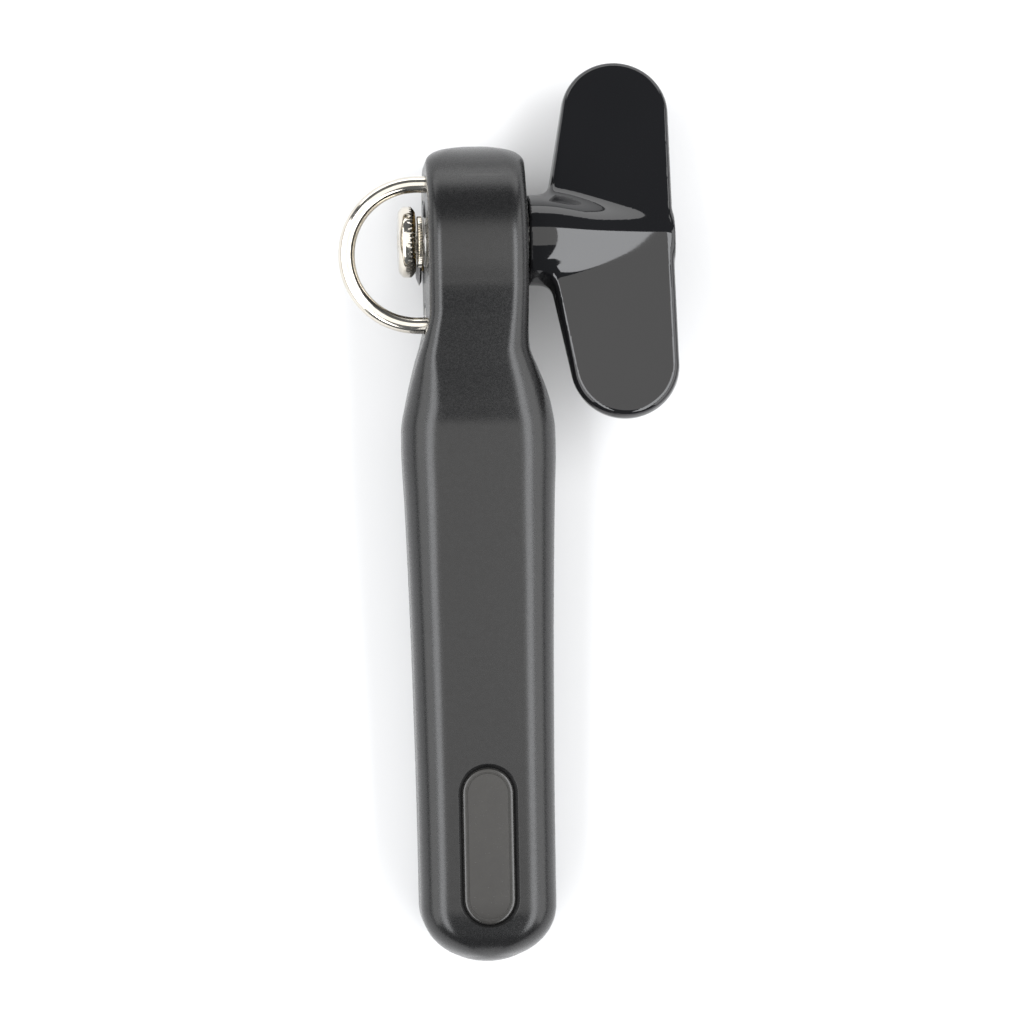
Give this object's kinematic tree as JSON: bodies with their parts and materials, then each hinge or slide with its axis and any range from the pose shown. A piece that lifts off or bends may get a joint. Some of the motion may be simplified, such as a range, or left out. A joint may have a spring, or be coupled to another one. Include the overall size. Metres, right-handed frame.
{
  "type": "manual can opener",
  "caption": "Side-cutting can opener with one long satin handle, a glossy turning key, knurled feed wheel, cutter wheel and wire guide loop.",
  "frame": {"origin": "on the surface it lies on, under the middle of its bounding box", "axes": "+Y runs up the handle to the head, +X towards the turning key, +Z away from the surface; it lies on the back of its head and the end of its handle"},
  "size_m": [0.0742, 0.1984, 0.0416],
  "materials": {
    "satin_charcoal": "fine-grained satin charcoal plastic",
    "gloss_black": "mirror-gloss black plastic",
    "badge_grey": "smooth semi-gloss dark grey plastic",
    "nylon": "natural nylon",
    "polished_steel": "polished nickel plate",
    "steel": "zinc-plated steel",
    "hardened_steel": "dark hardened steel",
    "brass": "sintered bronze"
  },
  "bodies": {
    "casing": {"front_shell": "satin_charcoal", "back_shell": "satin_charcoal", "side_cover": "satin_charcoal", "badge_plate": "badge_grey", "knob_bezel": "gloss_black", "bearing_plate": "steel", "guide_loop": "polished_steel", "upper_loop_retainer": "steel", "lower_loop_retainer": "steel", "stop_pin": "steel", "sleeve_bush": "brass", "cutter_axle": "steel", "cutter_retainer": "steel", "head_screw": "steel", "neck_screw": "steel", "upper_handle_screw": "steel", "lower_handle_screw": "steel", "upper_plate_screw": "steel", "lower_plate_screw": "steel"},
    "sleeve": {"eccentric_sleeve": "steel", "wave_washer": "steel"},
    "drive": {"knob": "gloss_black", "knob_screw": "steel", "drive_shaft": "steel", "feed_wheel": "polished_steel", "feed_flange": "polished_steel", "hub_washer": "steel", "knob_washer": "nylon"},
    "cutter": {"cutter_wheel": "hardened_steel", "cutter_bush": "brass"}
  },
  "joints": [
    {"name": "clamp_swing", "type": "hinge", "parent": "casing", "child": "sleeve", "pos_m": [-0.00702, 0.0597, 0.01995], "axis": [1, 0, 0], "range_deg": [0, 90]},
    {"name": "key_turn", "type": "hinge", "parent": "sleeve", "child": "drive", "pos_m": [-0.00702, 0.0585, 0.02101], "axis": [1, 0, 0], "continuous": true},
    {"name": "cutter_spin", "type": "hinge", "parent": "casing", "child": "cutter", "pos_m": [-0.00702, 0.05678, 0.00695], "axis": [1, 0, 0], "continuous": true}
  ]
}
